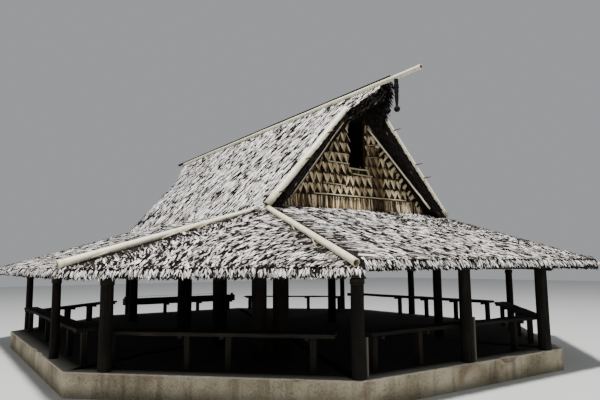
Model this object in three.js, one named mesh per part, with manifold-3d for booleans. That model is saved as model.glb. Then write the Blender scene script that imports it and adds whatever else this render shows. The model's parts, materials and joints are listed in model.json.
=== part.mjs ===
// Traditional meeting house: an eight-sided slab, round posts, a steep thatched roof and a thatched skirt.
// Millimetres, +Z up, origin on the ground at the centre of the slab. The front gable faces -Y.

import * as THREE from 'three';
import { mergeVertices } from 'three/addons/utils/BufferGeometryUtils.js';
import Module from 'manifold-3d';

// Driving dimensions
const gap = 0.3; // between pieces that touch
const slabHeight = 320;
const slab = { halfWidth: 4680, halfLength: 5400, frontHalf: 2020, sideHalf: 2740 };
const eaves = { halfWidth: 4890, halfLength: 5850, frontHalf: 2340, sideHalf: 3470 };
const ridgeX = -150; // the ridge stands a little left of the slab's centre
const ridgeZ = 4610; // top of the thatch at the ridge
const upperHalfWidth = 1920; // ridge to the foot of the steep slopes
const upperFootZ = 2472;
const verge = 3430; // end of the steep slopes, before and behind the centre
const hood = { front: 4070, back: 4510, frontHalf: 364, backHalf: 546 };
const eaveTopZ = { front: 1680, left: 1615, frontLeft: 1600, elsewhere: 1650 };
const upperThick = 220; // thatch, measured vertically
const skirtThick = 105;
const edgeInset = 95; // post centres in from the slab's edge
const beamRadius = 60;
const plate = { radius: 80, x: 1820, overhang: 60 };
const tie = { radius: 80, notch: 20, overhang: 320 };
const ridgeBeamRadius = 70;
const kingRadius = 60;
const tieY = [-3240, -1620, 0, 1620, 3240];
const gable = { front: 3180, thick: 80, baseHalf: 1690, ventHalf: 195, sillZ: 3270 };
const tongueHalf = 1600; // the front and back skirts run in under the verge to the gable wall
const rake = { lowRadius: 45, highRadius: 34, topOut: 26 }; // they start topOut outside the hood's foot
const peg = { reach: 240, radius: 13, tipRadius: 5 };
const bench = { inset: 250, width: 260, thick: 50, leg: 80, backDepth: 40, boardThick: 30 };
const openBench = { seat: 490 };
const edgedBench = { seat: 500, edgeBoard: 180 };
const backedBench = { seat: 420, top: 720, board: 140 };
const logSides = 24;

// Finishes
const thatch = { color: 0x9a9088, roughness: 0.95, metalness: 0 };
const wood = { color: 0x3b332c, roughness: 0.85, metalness: 0 };
const bamboo = { color: 0xcdbf8e, roughness: 0.5, metalness: 0 };
const leaf = { color: 0x8a6a48, roughness: 0.9, metalness: 0 };
const concrete = { color: 0x8f8a80, roughness: 0.9, metalness: 0 };

// Slopes as heights over the plan
const pitch = (ridgeZ - upperFootZ) / upperHalfWidth;
const pitchCos = 1 / Math.hypot(1, pitch);
const upperTop = (x) => ridgeZ - pitch * Math.abs(x - ridgeX);
const upperUnder = (x) => upperTop(x) - upperThick;
const slabCut = slab.sideHalf + slab.halfWidth;

const wasm = await Module();
wasm.setup();

const house = new THREE.Group();

function addMesh(name, geometry, finish) {
  const mesh = new THREE.Mesh(geometry, new THREE.MeshStandardMaterial(finish));
  mesh.name = name;
  house.add(mesh);
  return mesh;
}

function toSolid(geometry) {
  const plain = geometry.index ? geometry.toNonIndexed() : geometry.clone();
  plain.deleteAttribute('normal');
  plain.deleteAttribute('uv');
  const merged = mergeVertices(plain, 1e-3);
  const mesh = new wasm.Mesh({
    numProp: 3,
    vertProperties: new Float32Array(merged.attributes.position.array),
    triVerts: new Uint32Array(merged.index.array),
  });
  return new wasm.Manifold(mesh);
}

function toGeometry(solid) {
  const mesh = solid.getMesh();
  const geometry = new THREE.BufferGeometry();
  geometry.setAttribute('position', new THREE.BufferAttribute(new Float32Array(mesh.vertProperties), 3));
  geometry.setIndex(new THREE.BufferAttribute(new Uint32Array(mesh.triVerts), 1));
  geometry.computeVertexNormals();
  return geometry;
}

function join(geometries) {
  return toGeometry(geometries.map(toSolid).reduce((whole, solid) => whole.add(solid)));
}

function boxAt(width, depth, height, x, y, z) {
  return new THREE.BoxGeometry(width, depth, height).translate(x, y, z);
}

// A round log between two points
function logGeometry(from, to, radius, sides = logSides, endRadius = radius) {
  const along = to.clone().sub(from);
  const geometry = new THREE.CylinderGeometry(endRadius, radius, along.length(), sides);
  const turn = new THREE.Quaternion().setFromUnitVectors(new THREE.Vector3(0, 1, 0), along.normalize());
  const middle = from.clone().add(to).multiplyScalar(0.5);
  return geometry.applyQuaternion(turn).translate(middle.x, middle.y, middle.z);
}

function point(x, y, z) {
  return new THREE.Vector3(x, y, z);
}

// The outline, counter-clockwise, moved inwards
function inset(outline, distance) {
  const count = outline.length;
  const lines = outline.map(([x, y], i) => {
    const [nextX, nextY] = outline[(i + 1) % count];
    const length = Math.hypot(nextX - x, nextY - y);
    const normal = [-(nextY - y) / length, (nextX - x) / length];
    return { normal, offset: normal[0] * x + normal[1] * y + distance };
  });
  return lines.map((line, i) => {
    const before = lines[(i + count - 1) % count];
    const cross = before.normal[0] * line.normal[1] - before.normal[1] * line.normal[0];
    return [
      (before.offset * line.normal[1] - line.offset * before.normal[1]) / cross,
      (before.normal[0] * line.offset - line.normal[0] * before.offset) / cross,
    ];
  });
}

function counterClockwise(outline) {
  const points = outline.map(([x, y]) => new THREE.Vector2(x, y));
  return THREE.ShapeUtils.area(points) < 0 ? outline.toReversed() : outline;
}

// A plate of even vertical thickness over a plan outline, its top at heightAt(x, y)
function slopedPlate(outline, heightAt, thickness) {
  const plan = inset(counterClockwise(outline), gap / 2);
  const shape = new THREE.Shape(plan.map(([x, y]) => new THREE.Vector2(x, y)));
  const geometry = new THREE.ExtrudeGeometry(shape, { depth: thickness, bevelEnabled: false });
  const position = geometry.attributes.position;
  for (let i = 0; i < position.count; i += 1) {
    position.setZ(i, position.getZ(i) - thickness + heightAt(position.getX(i), position.getY(i)));
  }
  geometry.computeVertexNormals();
  return geometry;
}

// The plane through three points, as a height over the plan
function planeHeight(a, b, c) {
  const normal = b.clone().sub(a).cross(c.clone().sub(a));
  return (x, y) => a.z - (normal.x * (x - a.x) + normal.y * (y - a.y)) / normal.z;
}

function addSlab() {
  const { halfWidth: w, halfLength: l, frontHalf: f, sideHalf: s } = slab;
  const outline = [[-f, -l], [f, -l], [w, -s], [w, s], [f, l], [-f, l], [-w, s], [-w, -s]];
  const shape = new THREE.Shape(outline.map(([x, y]) => new THREE.Vector2(x, y)));
  addMesh('floor_slab', new THREE.ExtrudeGeometry(shape, { depth: slabHeight, bevelEnabled: false }), concrete);
}

// One entry a side: the skirt's outline and slope, and the line its posts and beam follow
function sideFrom(name, inner, outer, eaveZ = eaveTopZ.elsewhere) {
  const low = outer.map(([x, y]) => point(x, y, eaveZ));
  const high = inner.map(([x, y]) => point(x, y, upperFootZ));
  return { name, outline: [...outer, ...inner], height: planeHeight(low[0], low[1], high[0]) };
}

function makeSides() {
  const { halfWidth: w, halfLength: l, frontHalf: f, sideHalf: s } = eaves;
  const left = ridgeX - upperHalfWidth;
  const right = ridgeX + upperHalfWidth;
  const tongue = (sign) => [
    [right, sign * verge],
    [ridgeX + tongueHalf, sign * verge],
    [ridgeX + tongueHalf, sign * gable.front],
    [ridgeX - tongueHalf, sign * gable.front],
    [ridgeX - tongueHalf, sign * verge],
    [left, sign * verge],
  ];
  return {
    front: sideFrom('front', tongue(-1), [[-f, -l], [f, -l]], eaveTopZ.front),
    back: sideFrom('back', tongue(1), [[-f, l], [f, l]]),
    left: sideFrom('left', [[left, -verge], [left, verge]], [[-w, s], [-w, -s]], eaveTopZ.left),
    right: sideFrom('right', [[right, verge], [right, -verge]], [[w, -s], [w, s]]),
    frontLeft: sideFrom('front_left', [[left, -verge]], [[-w, -s], [-f, -l]], eaveTopZ.frontLeft),
    frontRight: sideFrom('front_right', [[right, -verge]], [[f, -l], [w, -s]]),
    backLeft: sideFrom('back_left', [[left, verge]], [[-f, l], [-w, s]]),
    backRight: sideFrom('back_right', [[right, verge]], [[w, s], [f, l]]),
  };
}

const sides = makeSides();

// The line of the posts, an octagon inside the slab's edge
const ring = (() => {
  const w = slab.halfWidth - edgeInset;
  const l = slab.halfLength - edgeInset;
  const cut = slabCut - edgeInset * Math.SQRT2;
  return { w, l, f: cut - l, s: cut - w };
})();

const beamEnds = {
  front: [[-ring.f, -ring.l], [ring.f, -ring.l]],
  back: [[ring.f, ring.l], [-ring.f, ring.l]],
  left: [[-ring.w, ring.s], [-ring.w, -ring.s]],
  right: [[ring.w, -ring.s], [ring.w, ring.s]],
  frontLeft: [[-ring.w, -ring.s], [-ring.f, -ring.l]],
  frontRight: [[ring.f, -ring.l], [ring.w, -ring.s]],
  backLeft: [[-ring.f, ring.l], [-ring.w, ring.s]],
  backRight: [[ring.w, ring.s], [ring.f, ring.l]],
};

const around = ['front', 'frontRight', 'right', 'backRight', 'back', 'backLeft', 'left', 'frontLeft'];

// Height of a side's beam axis, below its own thatch and the thatch that meets it at both corners
function beamZ(key) {
  const place = around.indexOf(key);
  const nearby = [around.at(place - 1), key, around[(place + 1) % around.length]];
  const heights = beamEnds[key].flatMap(([x, y]) => nearby.map((name) => {
    const { height } = sides[name];
    const slope = Math.hypot(height(x + 1, y) - height(x, y), height(x, y + 1) - height(x, y));
    return height(x, y) - skirtThick - (beamRadius + gap) * Math.hypot(1, slope);
  }));
  return Math.min(...heights);
}

function addSkirtsAndBeams() {
  const endTrim = beamRadius * Math.tan(Math.PI / 8) + gap / 2;
  for (const [key, side] of Object.entries(sides)) {
    addMesh(`skirt_roof_${side.name}`, slopedPlate(side.outline, side.height, skirtThick), thatch);
    const [[ax, ay], [bx, by]] = beamEnds[key];
    const z = beamZ(key);
    const along = point(bx - ax, by - ay, 0).normalize().multiplyScalar(endTrim);
    const from = point(ax, ay, z).add(along);
    const to = point(bx, by, z).sub(along);
    addMesh(`eave_beam_${side.name}`, logGeometry(from, to, beamRadius), wood);
  }
}

function addPost(name, x, y, radius, topZ) {
  const from = point(x, y, slabHeight + gap);
  addMesh(name, logGeometry(from, point(x, y, topZ), radius, 16, radius * 0.92), wood);
}

// Top of a post, under the lowest eave beam that passes over it
function postTop(x, y, radius) {
  const foot = point(x, y, 0);
  const over = around.filter((key) => {
    const [[ax, ay], [bx, by]] = beamEnds[key];
    const line = new THREE.Line3(point(ax, ay, 0), point(bx, by, 0));
    const nearest = line.closestPointToPoint(foot, true, new THREE.Vector3());
    return nearest.distanceTo(foot) < radius + beamRadius;
  });
  return Math.min(...over.map(beamZ)) - beamRadius - gap;
}

// Posts stand on a side's line, at a share of its length
function addPerimeterPosts() {
  const posts = [
    ['post_front_left_corner', 'front', 0, 88],
    ['post_front_middle', 'front', 0.48, 92],
    ['post_front_right_corner', 'front', 0.93, 98],
    ['post_front_left_side', 'frontLeft', 0.13, 92],
    ['post_front_right_side', 'frontRight', 1, 80],
    ['post_left', 'left', 0.785, 70],
    ['post_right', 'right', 0.56, 90],
    ['post_back_left_side', 'backLeft', 0.9, 75],
    ['post_back_right_side', 'backRight', 0.1, 75],
    ['post_back_left', 'back', 0.88, 62],
    ['post_back_right', 'back', 0.12, 62],
  ];
  for (const [name, key, share, radius] of posts) {
    const [[ax, ay], [bx, by]] = beamEnds[key];
    const x = ax + (bx - ax) * share;
    const y = ay + (by - ay) * share;
    addPost(name, x, y, radius, postTop(x, y, radius));
  }
}

const plateZ = upperUnder(ridgeX + plate.x) - (plate.radius + gap) / pitchCos;
const tieZ = plateZ - plate.radius - tie.radius + tie.notch;
const ridgeBeamZ = ridgeZ - upperThick - (ridgeBeamRadius + gap) / pitchCos;

// The inner posts stand under the tie beams, at a distance from the ridge line
function addMainPosts() {
  const [front, frontMiddle, middle, , back] = tieY;
  const posts = [
    ['main_post_left_front', -1980, front, 120],
    ['second_post_left_front', -1590, front, 130],
    ['main_post_left_front_middle', -plate.x, frontMiddle, 135],
    ['main_post_left_middle', -plate.x, middle, 150],
    ['main_post_left_back', -plate.x, back, 110],
    ['main_post_right_front', plate.x, front, 85],
    ['main_post_right_middle', plate.x, middle, 100],
    ['main_post_right_back', plate.x, back, 100],
  ];
  for (const [name, fromRidge, y, radius] of posts) {
    addPost(name, ridgeX + fromRidge, y, radius, tieZ - tie.radius - gap);
  }
}

function addRoofFrame() {
  const logs = [];
  const plateEnd = tieY.at(-1) + plate.overhang;
  const tieEnd = plate.x + tie.overhang;
  for (const x of [ridgeX - plate.x, ridgeX + plate.x]) {
    logs.push(logGeometry(point(x, -plateEnd, plateZ), point(x, plateEnd, plateZ), plate.radius));
  }
  for (const y of tieY) {
    logs.push(logGeometry(point(ridgeX - tieEnd, y, tieZ), point(ridgeX + tieEnd, y, tieZ), tie.radius));
  }
  const ridgeEnd = gable.front - gable.thick - gap;
  logs.push(logGeometry(point(ridgeX, -ridgeEnd, ridgeBeamZ), point(ridgeX, ridgeEnd, ridgeBeamZ), ridgeBeamRadius));
  for (const y of [tieY[1], tieY[3]]) {
    logs.push(logGeometry(point(ridgeX, y, tieZ), point(ridgeX, y, ridgeBeamZ), kingRadius, 16));
  }
  addMesh('roof_frame', join(logs), wood);
}

function addMainRoof() {
  for (const [name, sign] of [['left', -1], ['right', 1]]) {
    const foot = ridgeX + sign * upperHalfWidth;
    const outline = [
      [foot, -verge],
      [ridgeX + sign * hood.frontHalf, -verge],
      [ridgeX, -hood.front],
      [ridgeX, hood.back],
      [ridgeX + sign * hood.backHalf, verge],
      [foot, verge],
    ];
    addMesh(`main_roof_${name}`, slopedPlate(outline, upperTop, upperThick), thatch);
  }
}

// The wall fills the end of the steep roof and stands on the inner side of the last tie beam. Its vent is
// a slot that runs up to the peak.
function addGableWalls() {
  const edge = (x) => upperUnder(ridgeX + x) - gap / pitchCos;
  const { front, thick, baseHalf, ventHalf, sillZ } = gable;
  const baseZ = tieZ + Math.sqrt(tie.radius ** 2 - (tieY.at(-1) - front) ** 2) + gap;
  const outline = [
    [-baseHalf, baseZ], [baseHalf, baseZ], [baseHalf, edge(baseHalf)], [ventHalf, edge(ventHalf)],
    [ventHalf, sillZ], [-ventHalf, sillZ], [-ventHalf, edge(ventHalf)], [-baseHalf, edge(baseHalf)],
  ];
  const shape = new THREE.Shape(outline.map(([x, z]) => new THREE.Vector2(x, z)));
  for (const [name, sign] of [['front', -1], ['back', 1]]) {
    const wall = new THREE.ExtrudeGeometry(shape, { depth: thick - gap, bevelEnabled: false });
    wall.rotateX(Math.PI / 2).translate(0, sign < 0 ? thick - gap : 0, 0);
    const mesh = addMesh(`gable_wall_${name}`, wall, leaf);
    mesh.position.set(ridgeX, sign * (front - gap / 2), 0);
  }
}

// Tapering bamboo on the front ends of the steep slopes, with pointed pegs that stick out past the verge
function addRakePoles() {
  const pegs = { right: [0.15, 0.48, 0.61], left: [0.285, 0.56, 0.885] };
  for (const [side, sign] of [['left', -1], ['right', 1]]) {
    const onSlope = (half, radius) => {
      const lift = (radius + gap * 2) / pitchCos;
      return point(ridgeX + sign * half, rake.lowRadius - verge, upperTop(ridgeX + half) + lift);
    };
    const top = onSlope(hood.frontHalf + rake.topOut, rake.highRadius);
    const foot = onSlope(upperHalfWidth + 20, rake.lowRadius);
    const pieces = [logGeometry(foot, top, rake.lowRadius, logSides, rake.highRadius)];
    for (const share of pegs[side]) {
      const at = top.clone().lerp(foot, share);
      const tip = at.clone().add(point(0, -peg.reach, 0));
      pieces.push(logGeometry(at, tip, peg.radius, 8, peg.tipRadius));
    }
    addMesh(`rake_pole_front_${side}`, join(pieces), bamboo);
  }
}

// Tapering bamboo on the two hips of the front left skirt. The left one lies on the left skirt, and
// the right one on the front left skirt, below the front one's edge.
function addHipPoles() {
  const foot = [ridgeX - upperHalfWidth, -verge];
  const hips = [
    ['hip_pole_left', sides.left, [-eaves.halfWidth, -eaves.sideHalf], [0, 60], 0.1, 1.01, 52, 34],
    ['hip_pole_right', sides.frontLeft, [-eaves.frontHalf, -eaves.halfLength], [-62, 0], 0.05, 0.98, 46, 40],
  ];
  for (const [name, side, corner, shift, start, end, lowRadius, highRadius] of hips) {
    const at = (share) => {
      const x = foot[0] + (corner[0] - foot[0]) * share + shift[0];
      const y = foot[1] + (corner[1] - foot[1]) * share + shift[1];
      return point(x, y, side.height(x, y));
    };
    const slope = Math.hypot(side.height(1, 0) - side.height(0, 0), side.height(0, 1) - side.height(0, 0));
    const lift = (radius) => point(0, 0, (radius + gap) * Math.hypot(1, slope));
    const high = at(start).add(lift(highRadius));
    const low = at(end).add(lift(lowRadius));
    addMesh(name, logGeometry(low, high, lowRadius, logSides, highRadius), bamboo);
  }
}

const ridgeBamboo = { radius: 38, x: -97, front: -4820, back: 4420 };
const ridgeBambooZ = upperTop(ridgeX + ridgeBamboo.x) + (ridgeBamboo.radius + gap) / pitchCos;

function addRidge() {
  const top = { radius: 34, front: -4056, back: 5057 };
  const z = ridgeZ + top.radius + gap;
  const topLog = logGeometry(point(ridgeX, top.front, z), point(ridgeX, top.back, z), top.radius, 16);
  addMesh('ridge_top_pole', topLog, wood);
  const x = ridgeX + ridgeBamboo.x;
  const from = point(x, ridgeBamboo.front, ridgeBambooZ);
  const to = point(x, ridgeBamboo.back, ridgeBambooZ);
  addMesh('ridge_bamboo', logGeometry(from, to, ridgeBamboo.radius), bamboo);
}

// Carved sticks with a ball at the foot. The stick is stout above and tapers to its neck.
function addPendants() {
  const carve = (length, ball, stout, top) => {
    const neck = Math.PI * 0.88;
    const steps = 10;
    const profile = [new THREE.Vector2(0, -length)];
    for (let i = 1; i <= steps; i += 1) {
      const angle = (neck * i) / steps;
      profile.push(new THREE.Vector2(ball * Math.sin(angle), -length + ball - ball * Math.cos(angle)));
    }
    profile.push(new THREE.Vector2(stout * 0.8, -length * 0.55), new THREE.Vector2(stout, -length * 0.25));
    profile.push(new THREE.Vector2(top, 0), new THREE.Vector2(0, 0));
    return new THREE.LatheGeometry(profile, 16).rotateX(Math.PI / 2);
  };
  const frontY = -4285;
  const rearY = -3985;
  const rearTop = 10;
  const front = addMesh('pendant_front', carve(530, 50, 40, 32), wood);
  front.position.set(ridgeX + ridgeBamboo.x, frontY, ridgeBambooZ - ridgeBamboo.radius - gap);
  const rear = addMesh('pendant_rear', carve(320, 45, 26, rearTop), wood);
  rear.position.set(ridgeX, rearY, ridgeZ - upperThick - rearTop * pitch - gap / pitchCos);
}

// A plank on legs. An edged bench has a deep board under its outer edge. A backed bench is a little lower,
// with a board on short posts along part of its outer edge, between two shares of the plank.
function addBench(key, shares, legShares, kind, back = []) {
  const [[ax, ay], [bx, by]] = beamEnds[key];
  const length = Math.hypot(bx - ax, by - ay);
  const plank = length * (shares[1] - shares[0]);
  const { width, thick, leg, backDepth, boardThick } = bench;
  const plankZ = kind.seat - thick / 2;
  const backY = backDepth / 2 - width / 2;
  const pieces = [boxAt(plank, width, thick, 0, 0, plankZ)];
  for (const share of legShares) {
    pieces.push(boxAt(leg, leg, plankZ, (share - 0.5) * plank, 0, plankZ / 2));
  }
  if (kind.edgeBoard) {
    const boardZ = kind.seat - (thick + kind.edgeBoard) / 2;
    pieces.push(boxAt(plank, boardThick, kind.edgeBoard + thick, 0, backY, boardZ));
  }
  if (kind.top) {
    const [from, to] = back.map((share) => (share - 0.5) * plank);
    pieces.push(boxAt(to - from, boardThick, kind.board, (from + to) / 2, backY, kind.top - kind.board / 2));
    for (const x of [from + leg / 2, (from + to) / 2, to - leg / 2]) {
      pieces.push(boxAt(leg, backDepth, kind.top - plankZ, x, backY, (kind.top + plankZ) / 2));
    }
  }
  const mesh = addMesh(`bench_${sides[key].name}`, join(pieces), wood);
  const middle = (shares[0] + shares[1]) / 2;
  const inward = [-(by - ay) / length, (bx - ax) / length];
  mesh.position.set(
    ax + (bx - ax) * middle + inward[0] * bench.inset,
    ay + (by - ay) * middle + inward[1] * bench.inset,
    slabHeight + gap,
  );
  mesh.rotation.z = Math.atan2(by - ay, bx - ax);
}

function addBenches() {
  addBench('front', [0.08, 0.94], [0.04, 0.27, 0.55, 0.87], openBench);
  addBench('frontLeft', [0.08, 0.92], [0.04, 0.385, 0.56, 0.91], openBench);
  addBench('frontRight', [0.08, 0.92], [0.07, 0.4, 0.65, 0.95], openBench);
  addBench('left', [0.02, 0.94], [0.02, 0.42, 0.61, 0.8, 0.98], openBench);
  addBench('right', [0.06, 0.98], [0.02, 0.2, 0.39, 0.58, 0.98], openBench);
  addBench('back', [0.08, 0.92], [0.05, 0.35, 0.65, 0.95], edgedBench);
  addBench('backLeft', [0.08, 0.92], [0.05, 0.35, 0.65, 0.95], backedBench, [0, 0.62]);
  addBench('backRight', [0.08, 0.92], [0.05, 0.35, 0.65, 0.95], backedBench, [0.38, 1]);
}

addSlab();
addPerimeterPosts();
addMainPosts();
addSkirtsAndBeams();
addRoofFrame();
addMainRoof();
addGableWalls();
addRakePoles();
addHipPoles();
addRidge();
addPendants();
addBenches();

export default house;
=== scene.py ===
# Traditional meeting house: thatch leaves, bamboo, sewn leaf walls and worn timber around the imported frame
import json
import math

import bpy
import numpy as np
from mathutils import Matrix, Vector


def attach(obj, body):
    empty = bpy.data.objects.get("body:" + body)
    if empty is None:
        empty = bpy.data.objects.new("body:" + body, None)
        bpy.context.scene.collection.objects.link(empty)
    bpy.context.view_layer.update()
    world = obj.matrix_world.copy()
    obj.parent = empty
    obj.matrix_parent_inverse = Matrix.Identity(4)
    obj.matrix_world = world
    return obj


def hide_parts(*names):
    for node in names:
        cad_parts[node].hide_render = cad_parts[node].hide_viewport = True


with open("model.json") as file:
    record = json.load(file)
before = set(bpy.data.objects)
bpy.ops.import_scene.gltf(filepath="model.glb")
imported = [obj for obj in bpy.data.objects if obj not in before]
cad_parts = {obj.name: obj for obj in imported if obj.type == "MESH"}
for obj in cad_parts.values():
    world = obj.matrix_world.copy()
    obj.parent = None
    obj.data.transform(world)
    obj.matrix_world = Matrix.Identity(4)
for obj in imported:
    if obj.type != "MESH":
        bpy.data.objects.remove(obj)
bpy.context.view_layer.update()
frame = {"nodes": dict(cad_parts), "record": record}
cadNodes = frame["nodes"]
ridgeX = -0.15  # the ridge line stands a little left of the middle of the floor


# Camera

view = {"place": (-6.14, -10.291, 1.62), "yaw": 33.99, "pitch": 6.91, "roll": -0.52, "lens": 32.67, "sensor": 36}


def addCamera():
    yaw, pitch, roll = (math.radians(view[key]) for key in ("yaw", "pitch", "roll"))
    ahead = Vector((math.sin(yaw) * math.cos(pitch), math.cos(yaw) * math.cos(pitch), math.sin(pitch)))
    level = Vector((math.cos(yaw), -math.sin(yaw), 0))
    above = level.cross(ahead)
    right = math.cos(roll) * level + math.sin(roll) * above
    up = math.cos(roll) * above - math.sin(roll) * level
    camera = bpy.data.objects.new("camera", bpy.data.cameras.new("camera"))
    camera.matrix_world = Matrix.Translation(view["place"]) @ Matrix((right, up, -ahead)).transposed().to_4x4()
    camera.data.lens = view["lens"]
    camera.data.sensor_width = view["sensor"]
    bpy.context.scene.collection.objects.link(camera)
    bpy.context.scene.camera = camera


addCamera()
print("camera placed")


# Shader maths: one socket of a node tree, with the operators that the materials use

class Wire:
    def __init__(self, tree, socket=None):
        self.tree = tree
        self.socket = socket

    def node(self, kind, settings=None, values=None, output=0):
        made = self.tree.nodes.new("ShaderNode" + kind)
        for key, value in (settings or {}).items():
            if key == "stops":
                elements = made.color_ramp.elements
                elements[0].position = value[0][0]
                elements[1].position = value[-1][0]
                for place, _ in value[1:-1]:
                    elements.new(place)
                for element, (_, tone) in zip(elements, value):
                    element.color = (*tone, 1)
            else:
                setattr(made, key, value)
        for key, value in (values or {}).items():
            if isinstance(value, Wire):
                self.tree.links.new(value.socket, made.inputs[key])
            else:
                made.inputs[key].default_value = value
        return Wire(self.tree, made.outputs[output] if made.outputs else None)

    def maths(self, operation, first, second=0.0):
        return self.node("Math", {"operation": operation}, {0: first, 1: second})

    def __add__(self, other):
        return self.maths("ADD", self, other)

    def __sub__(self, other):
        return self.maths("SUBTRACT", self, other)

    def __mul__(self, other):
        return self.maths("MULTIPLY", self, other)

    def __radd__(self, other):
        return self.maths("ADD", other, self)

    def __rsub__(self, other):
        return self.maths("SUBTRACT", other, self)

    def __rmul__(self, other):
        return self.maths("MULTIPLY", other, self)

    def held(self):
        return self.node("Clamp", None, {"Value": self})

    def between(self, low, high):
        return self.node("MapRange", {"interpolation_type": "SMOOTHSTEP"}, {"Value": self, "From Min": low, "From Max": high})

    def noise(self, scale, detail=3.0, rough=0.55):
        return self.node("TexNoise", None, {"Vector": self, "Scale": scale, "Detail": detail, "Roughness": rough})

    def stretched(self, x, y, z):
        return self.node("VectorMath", {"operation": "MULTIPLY"}, {0: self, 1: (x, y, z)})

    def ramp(self, stops):
        return self.node("ValToRGB", {"stops": stops}, {"Fac": self})

    def mixed(self, first, second, mode="MIX"):
        return self.node("Mix", {"data_type": "RGBA", "blend_type": mode}, {0: self, 6: first, 7: second}, 2)


def startPaint(name):
    material = bpy.data.materials.new(name)
    material.use_nodes = True
    material.node_tree.nodes.clear()
    wire = Wire(material.node_tree)
    place = wire.node("TexCoord", None, None, "Object")
    grain = wire.node("Attribute", {"attribute_name": "grain"}, None, "Vector")
    tone = wire.node("Attribute", {"attribute_name": "tone"}, None, "Fac")
    return material, wire, place, grain, tone


def endPaint(wire, colour, rough, height=None, depth=0.01, gloss=0.25):
    values = {"Base Color": colour, "Roughness": rough, "Specular IOR Level": gloss}
    if height is not None:
        values["Normal"] = wire.node("Bump", None, {"Height": height, "Strength": 0.8, "Distance": depth})
    shader = wire.node("BsdfPrincipled", None, values)
    wire.node("OutputMaterial", None, {"Surface": shader})


# Colours, in linear light, from dark to light

stops = {
    "thatch": [(0.0, (0.008, 0.006, 0.005)), (0.22, (0.045, 0.036, 0.031)), (0.5, (0.23, 0.2, 0.18)),
               (0.78, (0.58, 0.54, 0.5)), (1.0, (0.95, 0.925, 0.89))],
    "wall": [(0.0, (0.012, 0.008, 0.005)), (0.3, (0.1, 0.066, 0.034)), (0.6, (0.36, 0.26, 0.135)),
             (1.0, (0.86, 0.72, 0.48))],
    "wood": [(0.0, (0.003, 0.0025, 0.002)), (0.4, (0.009, 0.0077, 0.006)), (0.75, (0.026, 0.022, 0.017)),
             (1.0, (0.12, 0.105, 0.085))],
    "bamboo": [(0.0, (0.05, 0.036, 0.018)), (0.35, (0.36, 0.3, 0.17)), (0.7, (0.66, 0.6, 0.4)),
               (1.0, (0.88, 0.84, 0.66))],
    "vine": [(0.0, (0.008, 0.006, 0.004)), (0.6, (0.03, 0.022, 0.014)), (1.0, (0.1, 0.075, 0.048))],
    "carved": [(0.0, (0.002, 0.0015, 0.0015)), (0.5, (0.005, 0.0042, 0.004)), (0.8, (0.012, 0.008, 0.006)),
               (1.0, (0.01, 0.013, 0.009))],
}


def leafPaint(name, colours, patchTint):
    material, wire, place, grain, tone = startPaint(name)
    streaks = grain.stretched(260.0, 260.0, 9.0).noise(1.0, 3.0)
    patches = place.noise(0.9, 4.0, 0.6)
    fine = place.noise(7.0, 3.0)
    value = tone + (streaks - 0.5) * 0.45 + (patches - 0.5) * 0.4 + (fine - 0.5) * 0.25
    colour = value.held().ramp(colours)
    tinted = (patches.between(0.45, 0.75) * 0.35).mixed(colour, patchTint, "MULTIPLY")
    endPaint(wire, tinted, streaks * 0.2 + 0.75, streaks, 0.002, 0.1)
    return material


def underPaint(name, colours, share):
    # the imported leaves that show between the single leaves, in thin courses, darkened by share: painted shade between
    # the leaves
    material, wire, place, grain, tone = startPaint(name)
    courses = place.stretched(1.0, 1.0, 40.0).noise(2.0, 3.0)
    straws = place.stretched(30.0, 30.0, 6.0).noise(1.0, 4.0)
    value = courses * 0.45 + straws * 0.55 - share
    endPaint(wire, value.held().ramp(colours), 0.9, straws + courses, 0.02)
    return material


def woodPaint(name, colours, shift=0.0, packed=False):
    # packed is for the frame's own solids, which carry no grain of their own
    material, wire, place, grain, tone = startPaint(name)
    along = place.stretched(0.4, 0.4, 0.4) if packed else grain
    fibres = along.stretched(60.0, 60.0, 2.2).noise(1.0, 5.0, 0.65)
    cracks = along.stretched(42.0, 42.0, 1.0).noise(1.0, 3.0).between(0.6, 0.72)
    stains = place.noise(3.0, 4.0)
    value = tone * 0.35 + fibres * 0.6 + stains * 0.5 - cracks * 0.35 - 0.22 + shift
    endPaint(wire, value.held().ramp(colours), 0.95 - fibres * 0.25, fibres - cracks, 0.006, 0.1)
    return material


def bambooPaint(name, colours):
    material, wire, place, grain, tone = startPaint(name)
    streaks = grain.stretched(70.0, 70.0, 1.2).noise(1.0, 4.0, 0.6)
    mould = place.noise(5.0, 5.0, 0.65).between(0.55, 0.76)
    value = 1.0 - tone * 0.85 - mould * 0.22 + (streaks - 0.5) * 0.55
    colour = value.held().ramp(colours)
    greenish = (place.noise(1.7, 2.0).between(0.5, 0.7) * 0.3).mixed(colour, (0.8, 0.86, 0.64, 1), "MULTIPLY")
    endPaint(wire, greenish, mould * 0.3 + 0.42, streaks - mould * 0.4, 0.0015, 0.5)
    return material


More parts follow.
